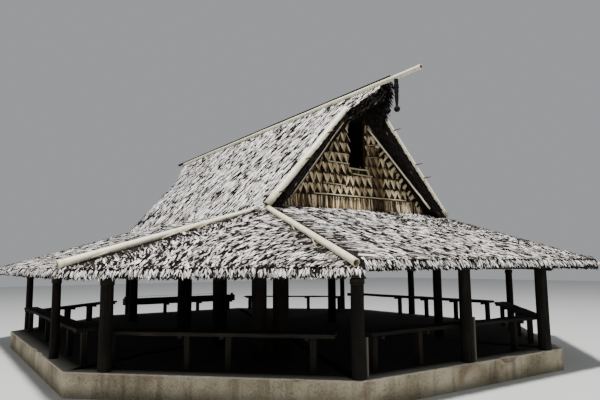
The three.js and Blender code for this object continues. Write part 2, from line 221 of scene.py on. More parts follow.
def concretePaint(name):
    material, wire, place, grain, tone = startPaint(name)
    clouds = place.noise(1.1, 5.0, 0.6)
    sand = place.noise(60.0, 3.0, 0.6)
    runs = place.stretched(7.0, 7.0, 0.7).noise(1.0, 4.0).between(0.5, 0.75)
    height = wire.node("SeparateXYZ", None, {"Vector": place}, 2)
    damp = 1 - height.between(0.0, 0.2)
    mixture = clouds * 0.75 + sand * 0.25
    colour = mixture.ramp([(0.35, (0.15, 0.118, 0.075)), (0.5, (0.43, 0.37, 0.255)), (0.65, (0.74, 0.66, 0.5))])
    rust = (place.noise(2.6, 4.0).between(0.56, 0.7) * 0.6).mixed(colour, (0.2, 0.105, 0.062, 1))
    stained = (runs * 0.55).mixed(rust, (0.08, 0.066, 0.048, 1))
    mossy = (damp * clouds * 0.9).held().mixed(stained, (0.065, 0.065, 0.036, 1))
    # a pale band along the top edge: painted highlight where the edge catches the light
    paintedLitEdge = (height.between(0.295, 0.315) * 0.75).mixed(mossy, (0.58, 0.53, 0.45, 1))
    # the floor top darkens inwards by the tone attribute: painted shade under the roof
    paintedShadeFloor = tone.held().mixed(paintedLitEdge, (0.012, 0.0096, 0.008, 1))
    pits = place.noise(34.0, 2.0).between(0.6, 0.72)
    endPaint(wire, paintedShadeFloor, 0.9, sand * 0.4 + clouds * 0.8 - pits * 0.8, 0.02)
    return material


paints = {
    "thatch": leafPaint("thatch_leaves", stops["thatch"], (0.88, 0.81, 0.74, 1)),
    "thatchUnder": underPaint("thatch_under", stops["thatch"], 0.5),
    "wall": leafPaint("wall_leaves", stops["wall"], (0.8, 0.72, 0.6, 1)),
    "wallUnder": underPaint("wall_under", stops["wall"], 0.36),
    "post": woodPaint("post_timber", stops["wood"]),
    "frameWood": woodPaint("frame_timber", stops["wood"], -0.05),
    "packedWood": woodPaint("frame_timber_packed", stops["wood"], -0.05, True),
    "seat": woodPaint("bench_timber", stops["wood"], 0.05),
    "ridge": woodPaint("ridge_timber", stops["wood"], 0.02),
    "carved": woodPaint("carved_timber", stops["carved"]),
    "bamboo": bambooPaint("bamboo_culm", stops["bamboo"]),
    "vine": woodPaint("vine_lashing", stops["vine"], 0.1),
    "concrete": concretePaint("worn_concrete"),
}
print("materials made")


# Closed bodies are gathered here until they become one piece

class Stock:
    def __init__(self, seed):
        self.points = []
        self.faces = {3: [], 4: []}
        self.grain = []
        self.tone = []
        self.count = 0
        self.random = np.random.default_rng(seed)

    def add(self, points, faces, grain, tone):
        for group in faces:
            self.faces[group.shape[1]].append(group + self.count)
        self.points.append(points)
        self.grain.append(grain + self.random.uniform(0, 30, 3))
        self.tone.append(np.broadcast_to(tone, len(points)))
        self.count += len(points)

    def make(self, name, paint, slotName, *replaced, smooth=False):
        points = np.concatenate(self.points).astype(np.float32)
        groups = [np.concatenate(group) for group in self.faces.values() if group]
        corners = np.concatenate([group.ravel() for group in groups]).astype(np.int32)
        sizes = np.concatenate([np.full(len(group), group.shape[1]) for group in groups])
        mesh = bpy.data.meshes.new(name)
        mesh.vertices.add(len(points))
        mesh.vertices.foreach_set("co", points.ravel())
        mesh.loops.add(len(corners))
        mesh.loops.foreach_set("vertex_index", corners)
        mesh.polygons.add(len(sizes))
        mesh.polygons.foreach_set("loop_start", (np.cumsum(sizes) - sizes).astype(np.int32))
        mesh.update(calc_edges=True)
        mesh.polygons.foreach_set("use_smooth", np.full(len(sizes), smooth))
        grain = mesh.attributes.new("grain", "FLOAT_VECTOR", "POINT")
        grain.data.foreach_set("vector", np.concatenate(self.grain).astype(np.float32).ravel())
        tone = mesh.attributes.new("tone", "FLOAT", "POINT")
        tone.data.foreach_set("value", np.concatenate(self.tone).astype(np.float32))
        mesh.materials.append(paints[paint])
        piece = bpy.data.objects.new(name, mesh)
        bpy.context.scene.collection.objects.link(piece)
        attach(piece, "root")
        if replaced:
            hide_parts(*replaced)
        triangles = int((sizes - 2).sum())
        total["triangles"] += triangles
        print(name, triangles, "triangles")
        return piece


total = {"triangles": 0}


def unit(vectors):
    vectors = np.asarray(vectors, float)
    return vectors / np.linalg.norm(vectors, axis=-1, keepdims=True)


# A leaf is a folded blade: two stations of left edge, midrib and right edge, then the tip

leafStations = (0.0, 0.62)
leafWidths = (0.75, 1.0)
leafQuads = np.array([(0, 3, 4, 1), (1, 4, 5, 2), (2, 5, 3, 0)])
leafTriangles = np.array([(3, 6, 4), (4, 6, 5), (5, 6, 3), (0, 1, 2)])


def addLeaves(stock, base, along, up, length, width, lift, tone, settings):
    # one row a leaf; lift is the height of its foot and of its tip over the surface
    count = len(base)
    if count == 0:
        return
    draw = stock.random
    along = unit(along)
    up = unit(up - along * np.sum(up * along, axis=1, keepdims=True))
    across = np.cross(up, along)
    roll = draw.normal(0, settings["roll"], (count, 1))
    side = across * np.cos(roll) + up * np.sin(roll)
    rise = up * np.cos(roll) - across * np.sin(roll)
    bend = draw.normal(0, settings["bend"], (count, 1)) * length[:, None]
    droop = settings["droop"] * length[:, None] * np.array((0.0, 0.0, -1.0))
    low, high = lift[:, :1], lift[:, 1:]
    rows = []
    for t, share in [*zip(leafStations, leafWidths), (1.0, 0.0)]:
        middle = base + along * length[:, None] * t + across * bend * t ** 2 + droop * t ** 2
        middle = middle + up * (low + (high - low) * t ** 1.4)
        if share == 0.0:
            rows.append(middle)
            continue
        half = side * (width * share / 2)[:, None]
        fold = rise * (width * share * settings["fold"])[:, None]
        rows += [middle - half, middle + fold, middle + half]
    points = np.stack(rows, axis=1)
    offset = (np.arange(count) * 7)[:, None, None]
    quads = (leafQuads[None] + offset).reshape(-1, 4)
    triangles = (leafTriangles[None] + offset).reshape(-1, 3)
    shift = draw.uniform(0, 30, (count, 1, 3))
    places = np.array([(w / 2 * s, 0.0, t) for t, w in zip(leafStations, leafWidths) for s in (-1, 0, 1)] + [(0.0, 0.0, 1.0)])
    grain = places[None] * np.stack([width, width, length], axis=1)[:, None] + shift
    stock.add(points.reshape(-1, 3), [quads, triangles], grain.reshape(-1, 3), np.repeat(tone, 7))


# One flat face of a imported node, with its directions and its outer edges

class Facet:
    def __init__(self, node, wanted):
        mesh = cadNodes[node].data
        corners = np.array([vertex.co for vertex in mesh.vertices])
        chosen = [tuple(face.vertices) for face in mesh.polygons if wanted(face.normal)]
        merged = {}
        ids = [merged.setdefault(tuple(np.round(point, 3)), len(merged)) for point in corners]
        places = np.array(list(merged))
        self.triangles = np.array([[places[ids[i]] for i in face] for face in chosen])
        cross = np.cross(self.triangles[:, 1] - self.triangles[:, 0], self.triangles[:, 2] - self.triangles[:, 0])
        areas = np.linalg.norm(cross, axis=1)
        self.up = unit(cross.sum(axis=0))
        self.fall = unit(np.array((0.0, 0.0, -1.0)) + self.up * self.up[2])
        self.across = np.cross(self.up, self.fall)
        self.middle = (self.triangles.mean(axis=1) * areas[:, None]).sum(axis=0) / areas.sum()
        uses = {}
        for face in chosen:
            for i in range(3):
                edge = tuple(sorted((ids[face[i]], ids[face[(i + 1) % 3]])))
                uses[edge] = uses.get(edge, 0) + 1
        self.edges = [(places[a], places[b]) for (a, b), times in uses.items() if times == 1]

    def flat(self, points):
        return np.stack([(points - self.middle) @ self.fall, (points - self.middle) @ self.across], axis=-1)

    def holds(self, points):
        spots = self.flat(points)
        inside = np.zeros(len(spots), bool)
        for a, b, c in self.flat(self.triangles):
            area = (b[0] - a[0]) * (c[1] - a[1]) - (b[1] - a[1]) * (c[0] - a[0])
            u = ((spots[:, 0] - a[0]) * (c[1] - a[1]) - (spots[:, 1] - a[1]) * (c[0] - a[0])) / area
            v = ((b[0] - a[0]) * (spots[:, 1] - a[1]) - (b[1] - a[1]) * (spots[:, 0] - a[0])) / area
            inside |= (u >= 0) & (v >= 0) & (u + v <= 1)
        return inside

    def spread(self, course, pitch, draw, jitter):
        # leaf feet in loose rows down the slope
        flat = self.flat(self.triangles).reshape(-1, 2)
        low, high = flat.min(axis=0), flat.max(axis=0)
        rows, columns = np.meshgrid(np.arange(low[0], high[0], course), np.arange(low[1], high[1], pitch), indexing="ij")
        spots = np.stack([rows.ravel(), columns.ravel()], axis=1) + draw.normal(0, 1, (rows.size, 2)) * jitter
        points = self.middle + spots[:, :1] * self.fall + spots[:, 1:] * self.across
        return points[self.holds(points)]

    def chord(self, axis, value):
        # the stretch of a straight line that lies on the face, down the slope for axis 1 and across it for axis 0
        found = []
        for a, b in self.edges:
            first, second = self.flat(a), self.flat(b)
            if (first[axis] - value) * (second[axis] - value) < 0:
                share = (value - first[axis]) / (second[axis] - first[axis])
                found.append(a + (b - a) * share)
        if len(found) < 2:
            return None
        found.sort(key=lambda spot: self.flat(spot)[1 - axis])
        return found[0], found[-1]

    def slopingEdges(self):
        return [(a, b) for a, b in self.edges if abs(a[2] - b[2]) > 0.15]

    def lowEdges(self):
        lowest = min(min(a[2], b[2]) for a, b in self.edges)
        return [(a, b) for a, b in self.edges if max(a[2], b[2]) < lowest + 0.02]


def facesUp(normal):
    return normal.z > 0.3


def edgeFrame(facet, a, b):
    # the direction along an edge, and the one in the facet's plane that points in from it
    run = unit(b - a)
    inwards = np.cross(facet.up, run)
    if (facet.middle - a) @ inwards < 0:
        inwards = -inwards
    return run, inwards


def turned(facet, along, angle):
    # the directions turned in the facet's plane
    side = np.cross(facet.up, along)
    return along * np.cos(angle)[:, None] + side * np.sin(angle)[:, None]


def leafTone(draw, count, darkShare, dark, light):
    return np.where(draw.random(count) < darkShare, draw.uniform(*dark, count), draw.uniform(*light, count))


# Thatch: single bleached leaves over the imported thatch, fanned away from the hips

skirtThatch = {
    "course": 0.055, "pitch": 0.03, "jitter": (0.024, 0.011), "length": (0.1, 0.19), "width": (0.016, 0.031),
    "scatter": 0.2, "lean": 0.12, "past": (0.0, 0.03), "foot": (0.001, 0.012), "tip": (0.006, 0.034),
    "roll": 0.42, "bend": 0.06, "fold": 0.2, "droop": 0.0, "feather": (0.26, 0.8), "featherShare": (2.4, 1.6),
    "darkShare": 0.37, "dark": (-0.15, 0.2), "light": (0.5, 1.15),
    "bold": 0.03, "boldLength": 1.3, "boldWidth": 1.3, "boldLift": 0.01, "boldDark": 0.6,
}
mainThatch = {
    **skirtThatch, "course": 0.07, "pitch": 0.037, "length": (0.12, 0.24), "width": (0.022, 0.04),
    "feather": None, "darkShare": 0.38, "dark": (-0.2, 0.2), "light": (0.64, 1.25), "bold": 0.04,
}
eave = {
    "step": 0.012, "length": (0.08, 0.12), "width": (0.014, 0.027), "inside": (0.02, 0.09), "scatter": 0.35,
    "roll": 0.5, "bend": 0.08, "fold": 0.2, "droop": 0.5, "darkShare": 0.3, "dark": (-0.1, 0.22),
    "light": (0.6, 1.1),
}
# the rows say how far down the edge they start, how long their leaves are and the share of dark ones
eaveEnds = {
    "rows": ((0.0, (0.06, 0.09), 0.3), (0.03, (0.05, 0.08), 0.4), (0.06, (0.03, 0.06), 1.0)),
    "step": 0.012, "width": (0.013, 0.026), "scatter": 0.4, "outwards": (0.1, 0.6),
    "roll": 0.5, "bend": 0.1, "fold": 0.2, "droop": 0.1, "dark": (-0.2, 0.12), "light": (0.6, 1.15),
}
vergeEnds = {
    "course": 0.035, "pitch": 0.03, "jitter": (0.012, 0.01), "length": (0.06, 0.13), "width": (0.018, 0.034),
    "scatter": 0.22, "roll": 0.35, "bend": 0.08, "fold": 0.2, "droop": 0.05,
    "darkShare": 0.97, "dark": (-0.5, -0.05), "light": (0.1, 0.35),
}
hoodLeaves = {
    "count": 70, "length": (0.05, 0.12), "width": (0.02, 0.04), "roll": 0.8, "bend": 0.12, "fold": 0.2,
    "droop": 0.1, "spread": 0.28, "darkShare": 0.97, "dark": (-0.6, -0.15), "light": (0.1, 0.4),
}


def thatchFacet(facet, seed, thatch):
    stock = Stock(seed)
    draw = stock.random
    base = facet.spread(thatch["course"], thatch["pitch"], draw, thatch["jitter"])
    count = len(base)
    along = np.repeat(facet.fall[None], count, axis=0)
    shade = np.zeros(count)
    if thatch["feather"]:
        # the leaves fan in from the hips: a narrow strip on the left one, seen from outside, a wide one on the right
        for a, b in facet.slopingEdges():
            run, inwards = edgeFrame(facet, a, b)
            away = (base - a) @ inwards
            side = int(((a + b) / 2 - facet.middle) @ facet.across > 0)
            fade = np.exp(-(away / thatch["feather"][side]) ** 2)
            along = along + inwards * fade[:, None] * thatch["featherShare"][side]
            # leaves near a hip are darkened: painted shade under the hip pole
            shade = np.maximum(shade, np.exp(-(away / 0.13) ** 2))
    along = unit(along)
    sweepAngle = np.sin(base[:, 0] * 1.7 + seed) + np.sin(base[:, 1] * 1.3 + base[:, 2] * 2.1 + seed * 2.0)
    along = turned(facet, along, draw.normal(0, thatch["scatter"], count) + thatch["lean"] * sweepAngle)
    # a few bold leaves stand up over the others, as light streaks and as dark gaps; the dark ones are painted shade in
    # the gaps
    bold = draw.random(count) < thatch["bold"]
    length = draw.uniform(*thatch["length"], count) * np.where(bold, thatch["boldLength"], 1)
    width = draw.uniform(*thatch["width"], count) * np.where(bold, thatch["boldWidth"], 1)
    for a, b in facet.lowEdges():
        # no leaf of the slope runs far past the eave
        run, inwards = edgeFrame(facet, a, b)
        speed = np.maximum(-(along @ inwards), 0.15)
        length = np.minimum(length, ((base - a) @ inwards) / speed + draw.uniform(*thatch["past"], count))
    length = np.maximum(length, 0.05)
    lift = np.stack([draw.uniform(*thatch["foot"], count), draw.uniform(*thatch["tip"], count)], axis=1)
    lift += bold[:, None] * thatch["boldLift"]
    # the dark share is partly dark weathered leaves and partly painted shade in the gaps between leaves
    tone = leafTone(draw, count, thatch["darkShare"], thatch["dark"], thatch["light"]) * (1 - 0.45 * shade)
    tone = np.where(bold, leafTone(draw, count, thatch["boldDark"], (-0.2, 0.0), (1.0, 1.2)), tone)
    addLeaves(stock, base, along, np.repeat(facet.up[None], count, axis=0), length, width, lift, tone, thatch)
    for a, b in facet.lowEdges():
        addEave(stock, facet, a, b)
    return stock


def addEave(stock, facet, a, b):
    # light rows over the edge and down the thickness of the thatch, then a short dark one, painted shade under the eave
    draw = stock.random
    run, inwards = edgeFrame(facet, a, b)
    reach = np.linalg.norm(b - a)
    count = int(reach / eave["step"])
    spots = a + run * draw.uniform(0, reach, (count, 1)) + inwards * draw.uniform(*eave["inside"], (count, 1))
    along = turned(facet, np.repeat(facet.fall[None], count, axis=0), draw.normal(0, eave["scatter"], count))
    lift = np.stack([draw.uniform(-0.02, 0.015, count), draw.uniform(-0.03, 0.02, count)], axis=1)
    sizes = [draw.uniform(*eave[key], count) for key in ("length", "width")]
    tone = leafTone(draw, count, eave["darkShare"], eave["dark"], eave["light"])
    addLeaves(stock, spots, along, np.repeat(facet.up[None], count, axis=0), *sizes, lift, tone, eave)
    down = np.array((0.0, 0.0, -1.0))
    outwards = unit(-inwards * (1, 1, 0))
    for row, lengths, darkShare in eaveEnds["rows"]:
        count = int(reach / eaveEnds["step"])
        spots = a + run * draw.uniform(0, reach, (count, 1)) + down * (row + draw.uniform(0, 0.03, (count, 1)))
        lean = draw.normal(0, eaveEnds["scatter"], (count, 1))
        along = down + outwards * draw.uniform(*eaveEnds["outwards"], (count, 1)) + run * lean
        lift = np.stack([draw.uniform(0.0, 0.008, count), draw.uniform(0.005, 0.02, count)], axis=1)
        sizes = draw.uniform(*lengths, count), draw.uniform(*eaveEnds["width"], count)
        tone = leafTone(draw, count, darkShare, eaveEnds["dark"], eaveEnds["light"])
        addLeaves(stock, spots, along, np.repeat(outwards[None], count, axis=0), *sizes, lift, tone, eaveEnds)


def addVergeEnds(stock, facet, along):
    # leaf ends on the cut end of the thick thatch, lying down the slope; nearly all dark, painted shade on the end face
    draw = stock.random
    base = facet.spread(vergeEnds["course"], vergeEnds["pitch"], draw, vergeEnds["jitter"])
    count = len(base)
    along = turned(facet, np.repeat(unit(along)[None], count, axis=0), draw.normal(0, vergeEnds["scatter"], count))
    lift = np.stack([draw.uniform(0.0, 0.006, count), draw.uniform(0.004, 0.02, count)], axis=1)
    sizes = [draw.uniform(*vergeEnds[key], count) for key in ("length", "width")]
    tone = leafTone(draw, count, vergeEnds["darkShare"], vergeEnds["dark"], vergeEnds["light"])
    addLeaves(stock, base, along, np.repeat(facet.up[None], count, axis=0), *sizes, lift, tone, vergeEnds)


def addHoodLeaves(stock, slope, sign, side):
    # dead leaves that hang under the hood, on one side of the ridge; nearly all dark, painted shade under the hood
    draw = stock.random
    count = hoodLeaves["count"]
    tip = min(y for y in slope.triangles[..., 1].ravel() * -sign)
    y = -sign * draw.uniform(tip + 0.1, -3.4, count)
    half = draw.uniform(0.02, 0.85, count) * (abs(tip) - abs(y)) / (abs(tip) - 3.43) * 0.36
    top = slope.triangles[..., 2].max()
    steep = -slope.fall[2] / np.hypot(*slope.fall[:2])
    base = np.stack([ridgeX + side * half, y, top - steep * half - 0.215], axis=1)
    along = np.array((0.0, 0.0, -1.0)) + draw.normal(0, hoodLeaves["spread"], (count, 3)) * (1, 1, 0.3)
    up = np.repeat(np.array(((0.0, 1.0, 0.0),)) * sign, count, axis=0)
    sizes = [draw.uniform(*hoodLeaves[key], count) for key in ("length", "width")]
    tone = leafTone(draw, count, hoodLeaves["darkShare"], hoodLeaves["dark"], hoodLeaves["light"])
    addLeaves(stock, base, along, up, *sizes, np.zeros((count, 2)), tone, hoodLeaves)


skirts = ("front", "back", "left", "right", "front_left", "front_right", "back_left", "back_right")
skirtFacets = {side: Facet("skirt_roof_" + side, facesUp) for side in skirts}
for index, (sideName, facet) in enumerate(skirtFacets.items()):
    thatchFacet(facet, 11 + index, skirtThatch).make("thatch_leaves_skirt_" + sideName, "thatch", "thatch")

mainFacets = {side: Facet("main_roof_" + side, facesUp) for side in ("left", "right")}
for index, (sideName, facet) in enumerate(mainFacets.items()):
    stock = thatchFacet(facet, 31 + index, mainThatch)
    side = -1 if sideName == "left" else 1
    for sign in (-1, 1):
        node = "main_roof_" + sideName
        slopeAlong = facet.fall * (1, 0, 1)
        addVergeEnds(stock, Facet(node, lambda normal: normal.y * sign > 0.95), slopeAlong)
        addVergeEnds(stock, Facet(node, lambda normal: 0.3 < normal.y * sign < 0.9 and abs(normal.z) < 0.1), slopeAlong)
        addHoodLeaves(stock, facet, -sign, side)
    stock.make("thatch_leaves_main_" + sideName, "thatch", "thatch")
print("thatch laid")


# Bodies swept along a path

def crossFrame(start, end):
    # side, up and run, with side x up = run and up as near upright as the run allows
    run = unit(end - start)
    hint = np.array((0.0, 0.0, 1.0)) if abs(run[2]) < 0.9 else np.array((0.0, 1.0, 0.0))
    side = unit(np.cross(hint, run))
    return side, np.cross(run, side), run


def sweep(stock, path, side, up, outlines, tone):
    # path has one row a station, and outlines is stations x points x (side, up), counter-clockwise
    stations, around = outlines.shape[:2]
    side = np.broadcast_to(side, (stations, 3))[:, None]
    up = np.broadcast_to(up, (stations, 3))[:, None]
    rings = path[:, None] + side * outlines[..., :1] + up * outlines[..., 1:]
    ring = np.arange(around)
    after = (ring + 1) % around
    first = np.arange(stations - 1)[:, None] * around
    quads = np.stack([first + ring, first + after, first + around + after, first + around + ring], axis=-1)
    last = (stations - 1) * around
    hub = np.full(around, stations * around)
    caps = [np.stack([hub, after, ring], axis=1), np.stack([hub + 1, last + ring, last + after], axis=1)]
    reach = np.concatenate([[0.0], np.cumsum(np.linalg.norm(np.diff(path, axis=0), axis=1))])
    depth = np.broadcast_to(reach[:, None, None], (stations, around, 1))
    grain = np.concatenate([outlines, depth], axis=2).reshape(-1, 3)
    tones = np.repeat(np.broadcast_to(tone, stations), around)
    points = np.concatenate([rings.reshape(-1, 3), rings[[0, -1]].mean(axis=1)])
    grain = np.concatenate([grain, [(0, 0, 0), (0, 0, reach[-1])]])
    stock.add(points, [quads.reshape(-1, 4), *caps], grain, np.concatenate([tones, tones[[0, -1]]]))


def circle(around):
    angle = np.linspace(0, 2 * np.pi, around, endpoint=False)
    return np.stack([np.cos(angle), np.sin(angle)], axis=1), angle


log = {"around": 20, "step": 0.1, "lumps": 0.022, "bow": 0.004, "cut": 0.012}
thinLog = {"around": 8, "step": 0.3, "lumps": 0.03, "bow": 0.004, "cut": 0.006}
culm = {"around": 16, "internode": (0.28, 0.4), "ring": 0.015, "crook": 0.003, "rim": 0.74, "floor": 0.68, "depth": 1.6}


def addLog(stock, start, end, radii, settings, tone=0.5):
    # a trunk with low lumps and a slight bow, kept inside the radius that it is given
    draw = stock.random
    start, end = np.asarray(start, float), np.asarray(end, float)
    side, up, run = crossFrame(start, end)
    length = np.linalg.norm(end - start)
    count = max(2, int(length / settings["step"]))
    inner = np.linspace(0, length, count + 1)[1:-1]
    reach = np.concatenate([[0.0, settings["cut"]], inner, [length - settings["cut"], length]])
    share = reach / length
    ring, angle = circle(settings["around"])
    swell = np.full((len(reach), len(angle)), 1 - 2 * settings["lumps"])
    for turns in (1, 2, 3, 5):
        phase, twist, wave = draw.uniform(0, 6.28), draw.normal(0, 1.2), draw.uniform(2, 7)
        depth = settings["lumps"] / turns ** 0.5 * (0.6 + 0.4 * np.sin(reach * wave + phase))
        swell += depth[:, None] * np.sin(turns * angle + phase + reach[:, None] * twist)
    radius = radii[0] + (radii[1] - radii[0]) * share
    radius[[0, -1]] *= 0.92
    turn = draw.uniform(0, 6.28)
    bow = np.sin(np.pi * share) * settings["bow"] * length
    path = start + run * reach[:, None] + (side * math.cos(turn) + up * math.sin(turn)) * bow[:, None]
    sweep(stock, path, side, up, ring[None] * (radius[:, None] * swell)[..., None], tone)


def addCulm(stock, start, end, radii, openStart=False, openEnd=False):
    # stations are distance, swell and tone; a raised ring and a dark scar stand at each node
    draw = stock.random
    side, up, run = crossFrame(start, end)
    length = np.linalg.norm(end - start)
    stations = [(0.0, 0.99, 0.25)]
    place = draw.uniform(0.06, 0.3)
    while place < length - 0.06:
        stations += [(place - 0.03, 0.985, 0.12), (place - 0.008, 0.99, 0.18), (place, 1 + culm["ring"], 0.3)]
        stations += [(place + 0.007, 0.985, 0.4), (place + 0.014, 1.0, 0.15), (place + 0.05, 0.985, 0.05)]
        place += draw.uniform(*culm["internode"])
    stations.append((length, 0.99, 0.25))
    depth = culm["depth"] * radii[0]
    # the bore of an open end is darker, rim then floor: painted shade inside the hollow
    if openStart:
        stations = [(depth, culm["floor"], 1.15), (0.0, culm["rim"], 0.8), *stations]
    if openEnd:
        stations += [(length, culm["rim"], 0.8), (length - depth, culm["floor"], 1.15)]
    reach, swell, tone = np.array(stations).T
    ring, angle = circle(culm["around"])
    radius = (radii[0] + (radii[1] - radii[0]) * reach / length) * swell
    crook = culm["crook"] * (np.sin(reach * 2.3 + draw.uniform(0, 6.28)) + np.sin(reach * 5.1 + draw.uniform(0, 6.28)))
    path = start + run * reach[:, None] + side * crook[:, None]
    sweep(stock, path, side, up, ring[None] * radius[:, None, None], tone)


def addBoard(stock, start, end, up, width, thick, tone=0.5, warp=0.002):
    # up is the way the thickness points
    draw = stock.random
    start, end = np.asarray(start, float), np.asarray(end, float)
    run = unit(end - start)
    side = np.cross(up, run)
    length = np.linalg.norm(end - start)
    w, t = width / 2, thick / 2
    c = min(0.006, t * 0.4)
    outline = np.array([(-w, c - t), (c - w, -t), (w - c, -t), (w, c - t), (w, t - c), (w - c, t), (c - w, t), (-w, t - c)])
    reach = np.linspace(0, length, max(2, int(length / 0.3)) + 1)
    shrink = 1 - np.abs(draw.normal(0, 0.012, (len(reach), 1, 1)))
    path = start + run * reach[:, None] + np.asarray(up) * draw.normal(0, warp, (len(reach), 1))
    sweep(stock, path, side, up, outline[None] * shrink, tone)


def addLashing(stock, centre, axis, radius, turns=5, cord=0.006):
    # a vine wound round a pole
    side, up, run = crossFrame(np.zeros(3), np.asarray(axis, float))
    angle = np.linspace(0, 2 * np.pi * turns, 14 * turns + 1)[:, None]
    radial = side * np.cos(angle) + up * np.sin(angle)
    path = centre + radial * (radius + cord) + run * (angle / (2 * np.pi) - turns / 2) * cord * 2.1
    tangent = unit(np.cross(run, radial))
    ring, _ = circle(5)
    outlines = np.broadcast_to(ring[None] * cord, (len(path), 5, 2))
    sweep(stock, path, radial, np.cross(tangent, radial), outlines, stock.random.uniform(0.2, 0.9))


def nodePoints(node):
    return np.array([vertex.co for vertex in cadNodes[node].data.vertices])


def axisOf(points):
    # the two ends of a round piece, from its low or near end, and its radius at each
    middle = points.mean(axis=0)
    run = np.linalg.svd(points - middle, full_matrices=False)[2][0]
    run = run * np.sign(run[np.argmax(np.abs(run))])
    reach = (points - middle) @ run
    away = np.linalg.norm(points - middle - reach[:, None] * run, axis=1)
    ends = [middle + run * reach.min(), middle + run * reach.max()]
    low = away[(reach < reach.mean()) & (away > away.max() * 0.5)].mean()
    high = away[(reach > reach.mean()) & (away > away.max() * 0.5)].mean()
    return ends, (low, high)


# Round timber: the posts and the eave beams

roundTimber = [(node, "post_wood", "post") for node in sorted(cadNodes) if "post_" in node]
roundTimber += [(node, "frame_wood", "frameWood") for node in sorted(cadNodes) if node.startswith("eave_beam")]
lashings = Stock(90)
for index, (node, slotName, paint) in enumerate(roundTimber):
    stock = Stock(100 + index)
    (start, end), radii = axisOf(nodePoints(node))
    addLog(stock, start, end, radii, log, stock.random.uniform(0.3, 0.7))
    stock.make("log_" + node, paint, slotName, node, smooth=True)
    if paint == "post":
        addLashing(lashings, end - (end - start) * 0.04, end - start, radii[1] * 0.98)
lashings.make("post_lashings", "vine", "post_wood")
print("posts and beams made")


# Bamboo: the poles on the ridge, the hips and the front verge

def pegTips(points):
    # the pegs are the only parts of a rake pole that reach far past the verge
    tips = points[points[:, 1] < points[:, 1].min() + 0.02]
    tips = tips[np.argsort(tips[:, 0])]
    groups = np.split(tips, np.nonzero(np.diff(tips[:, 0]) > 0.05)[0] + 1)
    return [group.mean(axis=0) for group in groups]


for index, node in enumerate(("hip_pole_left", "hip_pole_right", "ridge_bamboo")):
    stock = Stock(150 + index)
    (start, end), radii = axisOf(nodePoints(node))
    addCulm(stock, start, end, radii, openStart=True, openEnd=node == "ridge_bamboo")
    stock.make("culm_" + node, "bamboo", "bamboo", node, smooth=True)

for index, node in enumerate(("rake_pole_front_left", "rake_pole_front_right")):
    stock = Stock(160 + index)
    points = nodePoints(node)
    (start, end), radii = axisOf(points[points[:, 1] > -3.4305])
    addCulm(stock, start, end, radii, openStart=True)
    for tip in pegTips(points):
        addLog(stock, (tip[0], -3.4, tip[2]), tip, (0.016, 0.006), thinLog, 1.2)
    stock.make("culm_" + node, "bamboo", "bamboo", node, smooth=True)

stock = Stock(170)
(start, end), radii = axisOf(nodePoints("ridge_top_pole"))
addLog(stock, start, end, radii, {**log, "around": 12, "bow": 0.0004}, 0.45)
stock.make("log_ridge_top_pole", "ridge", "ridge_wood", "ridge_top_pole", smooth=True)
print("bamboo made")


# Pendants: carved sticks with collars and a ball

pendant = {"around": 20, "steps": 46, "collars": (0.12, 0.3, 0.44), "collarHeight": 0.14, "facets": 0.05}


def addPendant(node, seed):
    stock = Stock(seed)
    points = nodePoints(node)
    low, high = points.min(axis=0), points.max(axis=0)
    centre = (low + high) / 2
    levels = np.unique(np.round(points[:, 2], 4))
    radii = [np.hypot(*(points[np.abs(points[:, 2] - z) < 2e-4, :2] - centre[:2]).T).max() for z in levels]
    z = np.linspace(low[2], high[2], pendant["steps"])
    radius = np.maximum(np.interp(z, levels, radii), 0.002)
    share = (high[2] - z) / (high[2] - low[2])
    for place in pendant["collars"]:
        radius *= 1 - pendant["collarHeight"] * np.exp(-((share - place) / 0.018) ** 2)
    ring, angle = circle(pendant["around"])
    swell = 1 - pendant["facets"] * (0.5 + 0.5 * np.cos(5 * angle[None] + 9 * share[:, None]))
    path = np.stack([np.full_like(z, centre[0]), np.full_like(z, centre[1]), z], axis=1)
    side, up, run = crossFrame(path[0], path[-1])
    sweep(stock, path, side, up, ring[None] * (radius[:, None] * swell)[..., None], 0.4 + 0.5 * share)
    stock.make("carving_" + node, "carved", "carved_wood", node, smooth=True)


addPendant("pendant_front", 180)
addPendant("pendant_rear", 181)


# Gable walls: rows of folded leaves on battens, with a vent that runs up to the peak

gable = {
    "row": 0.186, "lowest": 2.76, "highest": 4.12, "lappet": 0.136, "drop": 0.17, "blades": 3, "spread": 0.07,
    "lit": (0.7, 1.25), "shaded": (0.38, 0.95), "backing": (-0.3, 0.05), "width": (0.024, 0.038),
    "hang": (0.2, 0.3), "hangStep": 0.014, "hangTone": (0.1, 1.1),
    "roll": 0.3, "bend": 0.05, "fold": 0.2, "droop": 0.0,
}
# battens on the front wall: distance from the ridge line and height of both ends, half the width, and tone
battens = [
    ((-0.5, 3.495), (-0.22, 3.49), 0.009, 0.5), ((-0.65, 3.34), (-0.2, 3.335), 0.011, 0.45),
    ((-0.76, 2.985), (-0.28, 2.95), 0.008, 0.55), ((-0.94, 2.79), (1.11, 2.78), 0.009, 0.5),
    # the two battens right of the vent take a darker tone: painted shadow of the hood
    ((0.2, 3.705), (0.42, 3.73), 0.009, 0.85), ((0.2, 3.48), (0.46, 3.51), 0.009, 0.85),
    ((-0.22, 3.262), (0.22, 3.255), 0.014, 0.6), ((-0.12, 3.17), (0.31, 3.155), 0.011, 0.5),
    ((0.208, 3.26), (0.208, 4.0), 0.012, 1.0),
]
# the right raking strip runs from the top of the wall out to the plane of the verge
rakingStrip = {"top": (0.218, 4.004), "foot": (1.49, 2.63), "footY": 3.43, "radius": 0.018, "tone": 0.2}
pleats = {
    "from": (0.461, 3.701), "to": (1.474, 2.667), "step": 0.13, "width": (0.055, 0.085),
    "reach": (0.1, 0.19), "across": (1.0, 0.7), "light": (0.75, 1.15), "dark": (-0.3, 0.0),
}
